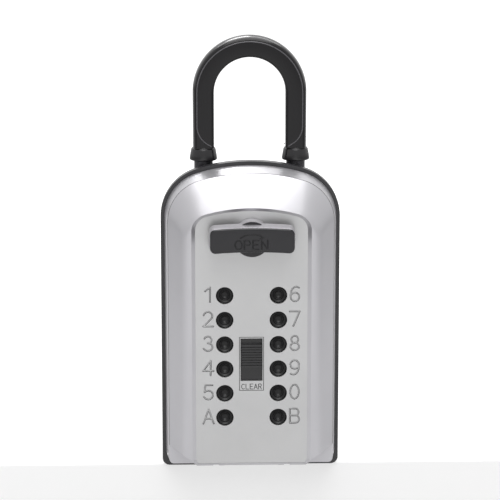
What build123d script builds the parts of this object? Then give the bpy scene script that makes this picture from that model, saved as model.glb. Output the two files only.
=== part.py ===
"""Portable push-button key box: a hinged die-cast cover on a die-cast housing, hung by a lift-out shackle.

Millimetres. X runs to the right, Y to the back and Z up to the shackle. The origin is on the standing
surface, midway between the back of the housing and the face of the thumb-turn.
"""

import os
from math import acos, cos, radians, sin, sqrt, tan

from build123d import *

os.makedirs("parts", exist_ok=True)

# Housing outline and depth
housing_width = 73.0
housing_height = 124.5
crown_radius = 77.5
shoulder_radius = 20.5
rim_foot_radius = 3.0
foot_drop = 4.0
back_foot_radius = 5.0
back_y = 25.0
housing_front_y = 2.3
housing_rim = 3.7
housing_draft = 4.5
back_round = 5.0
wall = 2.2
rim_width = 3.7
floor_wall = 2.6
core_x = 17.5
core_y = 11.5
core_width = 26.0
core_depth = 11.0

# Housing details
back_panel = 0.6
back_panel_inset = 14.0
seal_inset = 1.9
seal_width = 1.1
seal_foot_z = 8.0
seal_depth = 0.8
seal_proud = 0.2
boss_wall = 1.2
leg_boss_height = 6.3
bar_boss_height = 8.8
bar_boss_radius = 2.6
bush_length = 6.3
screw_radius = 1.2
screw_reach = 6.0
hook_screw_z = housing_height - 31.0
hook_screw_reach = 1.1
hook_width = 12.0
hook_height = 13.0
hook_thickness = 1.2
hook_tongue = 6.0
hook_reach = 8.6
hook_lip = 4.6
hook_foot_z = housing_height - 39.3

# Cover outline and depth
cover_inset = 1.5
cover_gap = 0.3
rim_depth = 10.0
rim_draft = 1.4
dome_rise = 6.6
dome_side_round = 5.5
dome_slope = 45.0
dome_steps = 6
dome_top_start = 33.0
dome_top_end = 20.0
cover_wall = 2.2
cover_foot_radius = 2.6
dome_foot = 0.6
dome_overrun = 15.0
dome_corner = ((2.9, 7.9), (6.3, 5.6), (9.0, 4.4), (12.1, 2.8), (14.2, 0.6))
dome_corner_lean = 1.6
cover_floor = 2.2
drain_x = 14.5
drain_width = 2.4
drain_depth = 1.5
drain_height = 1.0
lip_groove = 0.3
lip_groove_half = 11.0
rim_wall = 1.8
dome_hollow_inset = 9.3
dome_hollow_drops = (7.5, 15.0)
case_boss_radius = 1.9

# Window and faceplate
window_half = 22.6
window_top = housing_height - 17.2
window_crown = 72.0
window_shoulder = 6.0
window_bottom = 1.7
lip_half = 24.0
lip_top = 2.0
lip_bevel = 0.7
window_corner = 2.0
bevel_width = 1.5
panel_recess = 1.1
panel_thickness = 1.2
panel_margin = 0.9
panel_gap = 0.1

# Hinge at the foot of the cover
hinge_y = -3.0
hinge_z = 3.0
hinge_radius = 2.4
pin_radius = 1.25
pin_seat_radius = 1.7
pin_seat_depth = 1.2
ear_width = 4.9
ear_gap = 0.4
swing_gap = 0.7
lug_width = 1.8
running = 0.05

# Keypad
column_x = 10.85
first_row_z = 72.5
row_pitch = 10.24
row_count = 6
button_radius = 3.35
button_hole_radius = 3.55
button_recess = 0.8
button_travel = 1.7
stem_radius = 1.4
flange_radius = 4.0
flange_height = 0.9

dish_radius = 3.4
dish_depth = 0.75

# Clear slider
slider_half = 4.47
slider_window_low = 36.7
slider_window_high = 54.6
thumb_low = 42.5
thumb_high = 52.2
thumb_proud = 1.0
clear_travel = 4.5

slider_stem = 4.0
slider_stem_z = 47.0
clear_shelf_z = 27.8
clear_spring_y = -8.3

# Thumb-turn
knob_z = housing_height - 27.4
boss_radius = 7.3
boss_front_y = -20.1
knob_face_y = -25.0
wing_back_y = -18.2
wing_half = 16.8
wing_top = 5.7
wing_foot = 4.2
wing_bow = 0.8
wing_corner = 2.6
wing_draft = 3.5
wing_edge = 0.8
spindle_radius = 3.0
crank_radius = 3.6
crank_pin_radius = 1.2

knob_gap = 0.3
spindle_grip = 5.0
disc_front_y = -6.2
disc_thickness = 1.8
disc_radius = 5.3
tenon_radius = 2.2
clip_thickness = 0.7

# Lock case inside the cover
case_half = 17.0
case_wall = 1.6
case_low = 6.0
case_high = housing_height - 20.1
case_back_y = -0.7
case_ear_z = (24.0, housing_height - 32.5)
case_ear_x = 25.3

case_ear_y = -8.4
case_ear_thickness = 1.2
case_ear_reach = 9.8
case_cover_thickness = 1.2
case_screw_radius = 1.0
case_screw_reach = 3.0
post_radius = 1.9

# Plates inside the lock case
guide_front_y = -6.3
reset_front_y = -5.2
gate_front_y = -4.0
plate_thickness = 0.9
gate_thickness = 1.1
plate_half = 13.4
plate_low = 17.8
slot_gap = 0.3
latch_travel = crank_radius * sqrt(2)

guide_low = 16.5
guide_high = 81.0
ledge = 1.4
spring_notch = 9.5
spring_wire = 0.5
spring_clearance = 0.2

# Latch bolt and its strike
bolt_half = 4.0
bolt_arm_z = housing_height - 14.2
bolt_arm_thickness = 2.0
bolt_tip_y = 7.2
bolt_lip = 1.8
bolt_lip_z = housing_height - 9.3
strike_y = 3.4
strike_thickness = 1.1
strike_foot_z = housing_height - 11.5
strike_top_z = housing_height - 6.9
strike_half = 6.0

strike_depth = 8.8
strike_boss_height = 3.9
strike_screw_reach = 3.2
bolt_foot = 5.5
bolt_back = 1.5

# Shackle
leg_x = 18.85
shackle_y = 13.0
leg_radius = 3.85
leg_foot_z = housing_height - 20.5
arch_z = housing_height + 26.8
sleeve_width = 8.65
sleeve_depth = 10.0
sleeve_round = 1.9
collar_foot_z = housing_height - 1.1
collar_top_z = housing_height + 4.3
collar_foot_radius = 5.7
collar_top_half = 4.45

# Shackle lock
lock_bar_z = housing_height - 16.9
lock_bar_thickness = 1.8
lock_bar_travel = 4.6
lock_groove_radius = 2.5
lock_gap = 0.3
lock_bar_screw_x = 7.0
lock_bar_screw_y = 15.0
bush_radius = 5.4
bush_gap = 0.1

lock_bar_depth = 11.1
bar_tab_x = -11.0
bar_tab_width = 5.0
bar_tab_drop = 8.0

# Sizes that follow from the ones above
half = housing_width / 2
cover_back_y = housing_front_y - cover_gap
rim_front_y = cover_back_y - rim_depth
plateau_y = rim_front_y - dome_rise
panel_y = plateau_y + panel_recess
panel_back_y = panel_y + panel_thickness
case_front_y = panel_back_y + 1.2
rim_inset = cover_inset + rim_draft
button_front_y = panel_y + button_recess
flange_front_y = case_front_y + 0.2
flange_back_y = flange_front_y + flange_height
stem_back_y = case_back_y - button_travel - 0.2
case_inner = case_half - case_wall
rows = [first_row_z - row_pitch * row for row in range(row_count)]
left_keys = ["1", "2", "3", "4", "5", "a"]
right_keys = ["6", "7", "8", "9", "0", "b"]
key_places = [(-column_x, z) for z in rows] + [(column_x, z) for z in rows]
leg_places = [(-leg_x, shackle_y), (leg_x, shackle_y)]


def front(y):
    """The upright plane at depth y that faces the front: its x is X and its y is Z."""
    return Plane.XZ.offset(-y)


def rear(y):
    """The upright plane at depth y that faces the back: its x is -X and its y is Z."""
    return Plane((0, y, 0), x_dir=(-1, 0, 0), z_dir=(0, 1, 0))


def raised(piece):
    """The piece lifted so that the housing's foot stands at zero."""
    return piece.moved(Location((0, 0, foot_drop)))


def arch_face(plane, width_half, top, crown, shoulder, bottom, corner):
    """A domed outline: a wide crown arc, two shoulder arcs, straight sides and rounded feet."""
    crown_centre = top - crown
    shoulder_x = width_half - shoulder
    shoulder_z = crown_centre + sqrt((crown - shoulder) ** 2 - shoulder_x**2)
    reach = crown / (crown - shoulder)
    joint_x = shoulder_x * reach
    joint_z = crown_centre + (shoulder_z - crown_centre) * reach
    with BuildSketch(plane) as outline:
        with BuildLine():
            ThreePointArc((-joint_x, joint_z), (0, top), (joint_x, joint_z))
            RadiusArc((joint_x, joint_z), (width_half, shoulder_z), shoulder)
            Polyline(
                (width_half, shoulder_z),
                (width_half, bottom),
                (-width_half, bottom),
                (-width_half, shoulder_z),
            )
            RadiusArc((-width_half, shoulder_z), (-joint_x, joint_z), shoulder)
        make_face()
        if corner > 0:
            fillet(outline.vertices().sort_by(Axis.Y)[:2], radius=corner)
    return outline.sketch


def body_arch(y, inset, bottom, corner):
    """The housing's outline drawn in by an inset, at depth y."""
    top = housing_height - inset
    return arch_face(
        front(y), half - inset, top, crown_radius - inset, shoulder_radius - inset, bottom, corner
    )


def window_arch(y, margin, bottom, corner):
    """The window's outline let out by a margin, at depth y."""
    top = window_top + margin
    return arch_face(
        front(y), window_half + margin, top, window_crown, window_shoulder + margin, bottom, corner
    )


def screws(plane, points, shank_radius, shank_length, head_radius, head_height):
    """Cross-head screws with their heads seated on a plane and their shanks behind it."""
    with BuildPart() as group:
        with BuildSketch(plane):
            with Locations(*points):
                Circle(shank_radius)
        extrude(amount=-shank_length)
        with BuildSketch(plane):
            with Locations(*points):
                Circle(head_radius)
        extrude(amount=head_height)
        with BuildSketch(plane.offset(head_height)):
            with Locations(*points):
                Rectangle(head_radius * 1.2, 0.5)
                Rectangle(0.5, head_radius * 1.2)
        extrude(amount=-head_height / 2, mode=Mode.SUBTRACT)
    return group.part


def seal_loop(front_at, depth, spread):
    """An open loop round the dome and sides of the rim, let out by a spread on both faces."""
    with BuildPart() as loop:
        extrude(body_arch(front_at, seal_inset - spread, 0, 0), amount=-depth)
        inner = body_arch(front_at, seal_inset + seal_width + spread, -1, 0)
        extrude(inner, amount=-depth, mode=Mode.SUBTRACT)
        with Locations((0, front_at + depth / 2, seal_foot_z / 2 - 1)):
            Box(housing_width, 3 * depth, seal_foot_z + 2, mode=Mode.SUBTRACT)
    return loop.part


# Moulded back housing with its key tray, hinge ears and shackle bosses
housing_rim_y = housing_front_y + housing_rim
draft_rate = housing_draft / (back_y - housing_rim_y)
tray_back_y = back_y - wall
tray_inset = rim_width + draft_rate * (tray_back_y - housing_front_y)
boss_foot_z = lock_bar_z + lock_bar_thickness + lock_gap
ear_inner = half - cover_inset - cover_wall - ear_gap - ear_width
ear_middle = ear_inner + ear_width / 2
ear_root_y = housing_front_y + 4
strike_screws_at = [(-3.5, strike_y + 6.5), (3.5, strike_y + 6.5)]
bar_screws_at = [(-lock_bar_screw_x, lock_bar_screw_y), (lock_bar_screw_x, lock_bar_screw_y)]

with BuildPart() as back_housing:
    extrude(body_arch(housing_front_y, 0, -foot_drop, rim_foot_radius), amount=-housing_rim)
    housing_sections = [
        body_arch(housing_rim_y, 0, -foot_drop, back_foot_radius).face(),
        body_arch(back_y, housing_draft, -foot_drop, back_foot_radius).face(),
    ]
    loft(housing_sections, ruled=True)
    fillet(back_housing.faces().sort_by(Axis.Y)[-1].edges(), radius=back_round)
    tray_sections = [
        body_arch(housing_front_y, rim_width, floor_wall, back_foot_radius - 1).face(),
        body_arch(tray_back_y, tray_inset, floor_wall, back_foot_radius - 1).face(),
    ]
    loft(tray_sections, ruled=True, mode=Mode.SUBTRACT)
    panel = body_arch(back_y - back_panel, back_panel_inset, 9.0, 6.0)
    extrude(panel, amount=-2 * back_panel, mode=Mode.SUBTRACT)
    # The foot is cored out from below, with a web left in the middle
    with Locations(*[(side * core_x, core_y, -foot_drop) for side in (-1, 1)]):
        Box(core_width, core_depth, 2 * (foot_drop + floor_wall - wall), mode=Mode.SUBTRACT)
    # Bosses under the top wall for the two legs, the lock bar screws and the strike
    with BuildSketch(Plane.XY.offset(boss_foot_z)):
        with Locations(*leg_places):
            Circle(bush_radius + boss_wall)
    extrude(amount=leg_boss_height)
    with BuildSketch(Plane.XY.offset(boss_foot_z)):
        with Locations(*bar_screws_at):
            Circle(bar_boss_radius)
    extrude(amount=bar_boss_height)
    with BuildSketch(Plane.XY.offset(strike_top_z)):
        with Locations((0, strike_y + strike_depth / 2 + 1)):
            Rectangle(2 * strike_half + 2, strike_depth + 2)
    extrude(amount=strike_boss_height)
    with BuildSketch(Plane.XY.offset(boss_foot_z)):
        with Locations(*leg_places):
            Circle(bush_radius + 0.02)
    extrude(amount=bush_length, mode=Mode.SUBTRACT)
    with BuildSketch(Plane.XY.offset(boss_foot_z)):
        with Locations(*leg_places):
            Circle(leg_radius + lock_gap)
    extrude(amount=housing_height - boss_foot_z, mode=Mode.SUBTRACT)
    with BuildSketch(Plane.XY.offset(boss_foot_z)):
        with Locations(*bar_screws_at):
            Circle(screw_radius)
    extrude(amount=screw_reach, mode=Mode.SUBTRACT)
    with BuildSketch(Plane.XY.offset(strike_top_z)):
        with Locations(*strike_screws_at):
            Circle(screw_radius)
    extrude(amount=strike_screw_reach, mode=Mode.SUBTRACT)
    with Locations((0, tray_back_y, hook_screw_z)):
        Cylinder(screw_radius, 2 * hook_screw_reach, rotation=(90, 0, 0), mode=Mode.SUBTRACT)
    # Ears that carry the hinge pins
    with BuildSketch(Plane.YZ.offset(ear_inner), Plane.YZ.offset(-ear_inner - ear_width)):
        with Locations((hinge_y, hinge_z)):
            Circle(hinge_radius)
        with Locations(((hinge_y + ear_root_y) / 2, hinge_z + 0.15)):
            Rectangle(ear_root_y - hinge_y, 2 * hinge_radius - 0.5)
        with Locations((hinge_y, hinge_z)):
            Circle(pin_radius + running, mode=Mode.SUBTRACT)
    extrude(amount=ear_width)
    add(seal_loop(housing_front_y, seal_depth, running), mode=Mode.SUBTRACT)

back_housing.part.label = "back_housing"
export_step(raised(back_housing.part), "parts/back_housing.step")

# Rubber seal pressed into the groove of the housing rim
rim_seal = seal_loop(housing_front_y - seal_proud, seal_depth + seal_proud, 0)
rim_seal.label = "rim_seal"
export_step(raised(rim_seal), "parts/rim_seal.step")

# Nylon bushes that guide the shackle legs
with BuildPart() as leg_bushes:
    with BuildSketch(Plane.XY.offset(boss_foot_z)):
        with Locations(*leg_places):
            Circle(bush_radius)
            Circle(leg_radius + bush_gap, mode=Mode.SUBTRACT)
    extrude(amount=bush_length)

leg_bushes.part.label = "leg_bushes"
export_step(raised(leg_bushes.part), "parts/leg_bushes.step")

# Spring-steel strike that the latch bolt hooks behind
with BuildPart() as strike_spring:
    with BuildSketch(Plane.YZ.offset(-strike_half)):
        with BuildLine():
            Polyline(
                (strike_y, strike_foot_z),
                (strike_y, strike_top_z),
                (strike_y + strike_depth, strike_top_z),
                (strike_y + strike_depth, strike_top_z - strike_thickness),
                (strike_y + strike_thickness, strike_top_z - strike_thickness),
                (strike_y + strike_thickness, strike_foot_z),
                close=True,
            )
        make_face()
    extrude(amount=2 * strike_half)
    fillet(strike_spring.edges().filter_by(Axis.Y).group_by(Axis.Z)[0], radius=1.5)
    with BuildSketch(Plane.XY.offset(strike_top_z)):
        with Locations(*strike_screws_at):
            Circle(screw_radius + running)
    extrude(amount=-2 * strike_thickness, mode=Mode.SUBTRACT)

strike_spring.part.label = "strike_spring"
export_step(raised(strike_spring.part), "parts/strike_spring.step")

strike_seat = Plane.XY.offset(strike_top_z - strike_thickness).rotated((180, 0, 0))
strike_screws = screws(
    strike_seat,
    [(x, -y) for x, y in strike_screws_at],
    screw_radius,
    strike_thickness + strike_screw_reach - 0.4,
    1.9,
    1.2,
)
strike_screws.label = "strike_screws"
export_step(raised(strike_screws), "parts/strike_screws.step")

# Key hook on the back wall of the tray, and its screw
with BuildPart() as key_hook:
    with BuildSketch(front(tray_back_y)):
        with Locations((0, hook_screw_z - 3)):
            RectangleRounded(hook_width, hook_height, 2)
    extrude(amount=hook_thickness)
    with BuildSketch(Plane.YZ.offset(-hook_tongue / 2)):
        with BuildLine():
            Polyline(
                (tray_back_y - hook_thickness, hook_foot_z),
                (tray_back_y - hook_reach, hook_foot_z),
                (tray_back_y - hook_reach, hook_foot_z + hook_lip),
                (tray_back_y - hook_reach + hook_thickness, hook_foot_z + hook_lip),
                (tray_back_y - hook_reach + hook_thickness, hook_foot_z + hook_thickness),
                (tray_back_y - hook_thickness, hook_foot_z + hook_thickness),
                close=True,
            )
        make_face()
    extrude(amount=hook_tongue)
    with Locations((0, tray_back_y, hook_screw_z)):
        Cylinder(screw_radius + running, 4 * hook_thickness, rotation=(90, 0, 0), mode=Mode.SUBTRACT)

key_hook.part.label = "key_hook"
export_step(raised(key_hook.part), "parts/key_hook.step")

hook_screw = screws(
    front(tray_back_y - hook_thickness),
    [(0, hook_screw_z)],
    screw_radius,
    hook_thickness + hook_screw_reach - 0.2,
    2.2,
    1.3,
)
hook_screw.label = "hook_screw"
export_step(raised(hook_screw), "parts/hook_screw.step")

# Lock bar that slides across into the grooves of both shackle legs
bar_left = -leg_x - lock_bar_travel - lock_groove_radius - lock_gap - 0.75
bar_right = leg_x + 1.5
with BuildPart() as shackle_lock_bar:
    with BuildSketch(Plane.XY.offset(lock_bar_z)):
        with Locations(((bar_left + bar_right) / 2, shackle_y)):
            bar_plan = Rectangle(bar_right - bar_left, lock_bar_depth)
            chamfer(bar_plan.vertices().sort_by(Axis.X)[:2], length=3.5)
        with Locations((-lock_bar_travel / 2, shackle_y - lock_bar_depth / 2)):
            Rectangle(2 * bolt_half + 4 + lock_bar_travel, 4.0, mode=Mode.SUBTRACT)
        for x, y in leg_places:
            with Locations((x, y)):
                Circle(leg_radius + lock_gap + 0.05, mode=Mode.SUBTRACT)
            with Locations((x - lock_bar_travel / 2, y)):
                SlotCenterToCenter(lock_bar_travel, 2 * (lock_groove_radius + lock_gap), mode=Mode.SUBTRACT)
        for x, y in bar_screws_at:
            with Locations((x - lock_bar_travel / 2, y)):
                SlotCenterToCenter(lock_bar_travel, 2 * (screw_radius + 0.1), mode=Mode.SUBTRACT)
    extrude(amount=lock_bar_thickness)
    with BuildSketch(Plane.XY.offset(lock_bar_z + lock_bar_thickness)):
        with Locations((bar_tab_x, shackle_y - lock_bar_depth / 2 + 0.8)):
            Rectangle(bar_tab_width, 1.6)
    extrude(amount=-lock_bar_thickness - bar_tab_drop)
    fillet(shackle_lock_bar.edges().filter_by(Axis.Y).group_by(Axis.Z)[0], radius=1.4)

shackle_lock_bar.part.label = "shackle_lock_bar"
export_step(raised(shackle_lock_bar.part), "parts/shackle_lock_bar.step")

bar_screw_seat = Plane.XY.offset(lock_bar_z - 0.1).rotated((180, 0, 0))
bar_screws = screws(
    bar_screw_seat,
    [(x, -y) for x, y in bar_screws_at],
    screw_radius,
    lock_bar_thickness + screw_reach - 0.2,
    2.4,
    1.2,
)
bar_screws.label = "bar_screws"
export_step(raised(bar_screws), "parts/bar_screws.step")

# Shackle: a hardened bar, its moulded sleeve and two flared drip collars
arch_left = (-leg_x, shackle_y, arch_z)
arch_crest = (0, shackle_y, arch_z + leg_x)
arch_right = (leg_x, shackle_y, arch_z)
groove_low = lock_bar_z - lock_gap
groove_high = lock_bar_z + lock_bar_thickness + lock_gap
with BuildPart() as shackle_bar:
    with BuildLine() as bar_path:
        Line((-leg_x, shackle_y, leg_foot_z), arch_left)
        ThreePointArc(arch_left, arch_crest, arch_right)
        Line(arch_right, (leg_x, shackle_y, leg_foot_z))
    with BuildSketch(Plane((-leg_x, shackle_y, leg_foot_z))):
        Circle(leg_radius)
    sweep(path=bar_path.wires()[0])
    chamfer(shackle_bar.faces().group_by(Axis.Z)[0].edges(), length=0.8)
    with BuildSketch(Plane.XY.offset(groove_low)):
        with Locations(*leg_places):
            Circle(leg_radius + 1)
            Circle(lock_groove_radius, mode=Mode.SUBTRACT)
    extrude(amount=groove_high - groove_low, mode=Mode.SUBTRACT)

shackle_bar.part.label = "shackle_bar"
export_step(raised(shackle_bar.part), "parts/shackle_bar.step")

with BuildPart() as shackle_sleeve:
    with BuildLine() as sleeve_path:
        Line((-leg_x, shackle_y, collar_top_z), arch_left)
        ThreePointArc(arch_left, arch_crest, arch_right)
        Line(arch_right, (leg_x, shackle_y, collar_top_z))
    with BuildSketch(Plane((-leg_x, shackle_y, collar_top_z))):
        RectangleRounded(sleeve_width, sleeve_depth, sleeve_round)
        Circle(leg_radius + 0.01, mode=Mode.SUBTRACT)
    sweep(path=sleeve_path.wires()[0])

shackle_sleeve.part.label = "shackle_sleeve"
export_step(raised(shackle_sleeve.part), "parts/shackle_sleeve.step")

for side, x in (("left", -leg_x), ("right", leg_x)):
    with BuildPart() as collar:
        with BuildSketch(Plane((x, shackle_y, collar_foot_z))):
            Circle(collar_foot_radius)
        with BuildSketch(Plane((x, shackle_y, collar_top_z))):
            Ellipse(collar_top_half, sleeve_depth / 2 + 0.1)
        loft()
        with BuildSketch(Plane((x, shackle_y, collar_foot_z))):
            Circle(leg_radius + 0.01)
        extrude(amount=collar_top_z - collar_foot_z, mode=Mode.SUBTRACT)
    collar.part.label = f"collar_{side}"
    export_step(raised(collar.part), f"parts/collar_{side}.step")

# Hinged die-cast cover: a drafted rim, a sloped dome and the arched window
def dome_side_inset(depth):
    """How far the dome's side has moved inwards at a depth: a straight slope that ends in a round."""
    lean = radians(dome_slope)
    round_start = dome_rise - dome_side_round * (1 - cos(lean))
    if depth <= round_start:
        return depth / tan(lean)
    turned = sqrt(dome_side_round**2 - (dome_side_round - dome_rise + depth) ** 2)
    return dome_rise / tan(lean) + dome_side_round * tan(lean / 2) - turned


def dome_top_inset(depth):
    """How far the dome's top has moved inwards at a depth: one long round, flatter by the window."""
    start = radians(dome_top_start)
    radius = dome_rise / (cos(radians(dome_top_end)) - cos(start))
    lean = acos(cos(start) + depth / radius)
    return radius * (sin(start) - sin(lean))


def dome_section(depth):
    """The dome's outline at a depth in front of the rim, with its top flatter than its sides."""
    side = rim_inset + dome_side_inset(depth)
    top = rim_inset + dome_top_inset(depth)
    return arch_face(
        front(rim_front_y - depth),
        half - side,
        housing_height - top,
        crown_radius - top,
        shoulder_radius - side,
        -dome_overrun,
        0,
    ).face()


def dome_foot_face(y, lean):
    """The part of the front that the dome may cover at depth y, with its bottom corners cut away."""
    lifts = [lean * (1 - place / (len(dome_corner) - 1)) for place in range(len(dome_corner))]
    right = [(half - across, up + lift) for (across, up), lift in zip(dome_corner, lifts)]
    left = [(-x, z) for x, z in reversed(right)]
    with BuildSketch(front(y)) as allowed:
        with BuildLine():
            Polyline(
                (-half, housing_height),
                (-half, left[-1][1]),
                *reversed(left),
                *reversed(right),
                (half, right[0][1]),
                (half, housing_height),
                close=True,
            )
        make_face()
    return allowed.sketch.face()


round_turns = [dome_slope * (1 - step / dome_steps) for step in range(dome_steps + 1)]
round_depths = [dome_rise - dome_side_round * (1 - cos(radians(turn))) for turn in round_turns]
slope_depths = [round_depths[0] * step / dome_steps for step in range(dome_steps)]
with BuildPart() as cover_dome:
    loft([dome_section(depth) for depth in slope_depths + round_depths], ruled=True)
    foot_sections = [dome_foot_face(rim_front_y, 0), dome_foot_face(plateau_y, dome_corner_lean)]
    loft(foot_sections, ruled=True, mode=Mode.INTERSECT)

pin_outer = half - cover_inset - rim_draft / 2 - pin_seat_depth
pin_inner = ear_inner - ear_gap - lug_width
case_bosses_at = [(side * case_ear_x, z) for side in (-1, 1) for z in case_ear_z]
with BuildPart() as cover_shell:
    cover_sections = [
        body_arch(cover_back_y, cover_inset, 0, cover_foot_radius).face(),
        body_arch(rim_front_y, rim_inset, 0, cover_foot_radius - rim_draft / 2).face(),
    ]
    loft(cover_sections, ruled=True)
    add(cover_dome.part)
    # Hollow behind the rim, hollow behind the dome, seat for the faceplate and the bevelled window
    rim_hollow = [
        body_arch(cover_back_y, cover_inset + cover_wall, cover_floor, 2.5).face(),
        body_arch(rim_front_y + rim_wall, rim_inset + cover_wall - 0.25, cover_floor, 2.5).face(),
    ]
    loft(rim_hollow, ruled=True, mode=Mode.SUBTRACT)
    dome_hollow = [
        arch_face(
            front(y),
            half - dome_hollow_inset,
            housing_height - drop,
            crown_radius - dome_hollow_inset,
            shoulder_radius - dome_hollow_inset,
            cover_floor + 0.4,
            7.0,
        ).face()
        for y, drop in zip((rim_front_y + rim_wall, panel_back_y), dome_hollow_drops)
    ]
    loft(dome_hollow, ruled=True, mode=Mode.SUBTRACT)
    extrude(
        window_arch(panel_back_y, panel_margin, window_bottom, window_corner),
        amount=panel_thickness,
        mode=Mode.SUBTRACT,
    )
    bevel_corner = window_corner + bevel_width
    window_sections = [
        window_arch(panel_y, 0, window_bottom, window_corner).face(),
        window_arch(plateau_y, bevel_width, window_bottom - panel_recess, bevel_corner).face(),
    ]
    loft(window_sections, ruled=True, mode=Mode.SUBTRACT)
    with BuildSketch(front(panel_back_y)):
        with Locations(*case_bosses_at):
            Circle(case_boss_radius)
    extrude(amount=panel_back_y - case_ear_y)
    with BuildSketch(front(case_ear_y)):
        with Locations(*case_bosses_at):
            Circle(case_screw_radius)
    extrude(amount=case_screw_reach, mode=Mode.SUBTRACT)
    # The lip under the faceplate is flush with it and bevelled, with drain slots and a parting groove
    with Locations((0, plateau_y, dome_foot)):
        Box(2 * lip_half, 2 * panel_recess, 2 * (lip_top - dome_foot), mode=Mode.SUBTRACT)
    with BuildSketch(Plane.YZ.offset(-lip_half)):
        with Locations((panel_y, dome_foot)):
            Rectangle(lip_bevel * sqrt(2), lip_bevel * sqrt(2), rotation=45)
    extrude(amount=2 * lip_half, mode=Mode.SUBTRACT)
    with Locations(*[(side * drain_x, panel_y, dome_foot) for side in (-1, 1)]):
        Box(drain_width, 2 * drain_depth, 2 * drain_height, mode=Mode.SUBTRACT)
    with Locations((0, panel_y, dome_foot)):
        Box(2 * lip_groove_half, 2 * (lip_bevel + lip_groove), 2 * lip_groove, mode=Mode.SUBTRACT)
    # Foot: rounded about the hinge, opened for the housing's ears and bored for the pins
    with BuildSketch(Plane.YZ.offset(-half)):
        with Locations((hinge_y + 5, hinge_z / 2 - 1)):
            Rectangle(10, hinge_z + 2)
        with Locations((hinge_y, hinge_z)):
            Circle(cover_back_y - hinge_y, mode=Mode.SUBTRACT)
    extrude(amount=housing_width, mode=Mode.SUBTRACT)
    notch_depth = cover_back_y - hinge_y + hinge_radius + swing_gap
    notch_height = hinge_z + hinge_radius + swing_gap
    with Locations(*[(side * ear_middle, cover_back_y - notch_depth / 2, 0) for side in (-1, 1)]):
        Box(ear_width + 2 * ear_gap, notch_depth, 2 * notch_height, mode=Mode.SUBTRACT)
    with Locations(*[(side * (pin_inner + lug_width / 2), hinge_y, hinge_z - 0.4) for side in (-1, 1)]):
        Box(lug_width, 2 * hinge_radius, 2 * hinge_radius)
    with BuildSketch(Plane.YZ.offset(pin_inner), Plane.YZ.offset(-half)):
        with Locations((hinge_y, hinge_z)):
            Circle(pin_radius)
    extrude(amount=half - pin_inner, mode=Mode.SUBTRACT)
    with BuildSketch(Plane.YZ.offset(pin_outer), Plane.YZ.offset(-half)):
        with Locations((hinge_y, hinge_z)):
            Circle(pin_seat_radius)
    extrude(amount=half - pin_outer, mode=Mode.SUBTRACT)

cover_shell.part.label = "cover_shell"
export_step(raised(cover_shell.part), "parts/cover_shell.step")

with BuildPart() as hinge_pins:
    with BuildSketch(Plane.YZ.offset(pin_inner), Plane.YZ.offset(-pin_outer)):
        with Locations((hinge_y, hinge_z)):
            Circle(pin_radius)
    extrude(amount=pin_outer - pin_inner)
    chamfer(hinge_pins.edges().group_by(Axis.X)[0] + hinge_pins.edges().group_by(Axis.X)[-1], length=0.3)

hinge_pins.part.label = "hinge_pins"
export_step(raised(hinge_pins.part), "parts/hinge_pins.step")

# Satin faceplate held from behind against the window's lip
slider_middle = (slider_window_low + slider_window_high) / 2
slider_window = slider_window_high - slider_window_low
with BuildPart() as faceplate:
    plate_outline = window_arch(
        panel_back_y, panel_margin - panel_gap, window_bottom + panel_gap, window_corner - panel_gap
    )
    extrude(plate_outline, amount=panel_thickness)
    with BuildSketch(front(panel_y)):
        with Locations(*key_places):
            Circle(button_hole_radius)
        with Locations((0, knob_z)):
            Circle(spindle_radius + 0.2)
        with Locations((0, slider_middle)):
            Rectangle(2 * slider_half, slider_window)
    extrude(amount=-panel_thickness, mode=Mode.SUBTRACT)

faceplate.part.label = "faceplate"
export_step(raised(faceplate.part), "parts/faceplate.step")

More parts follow.
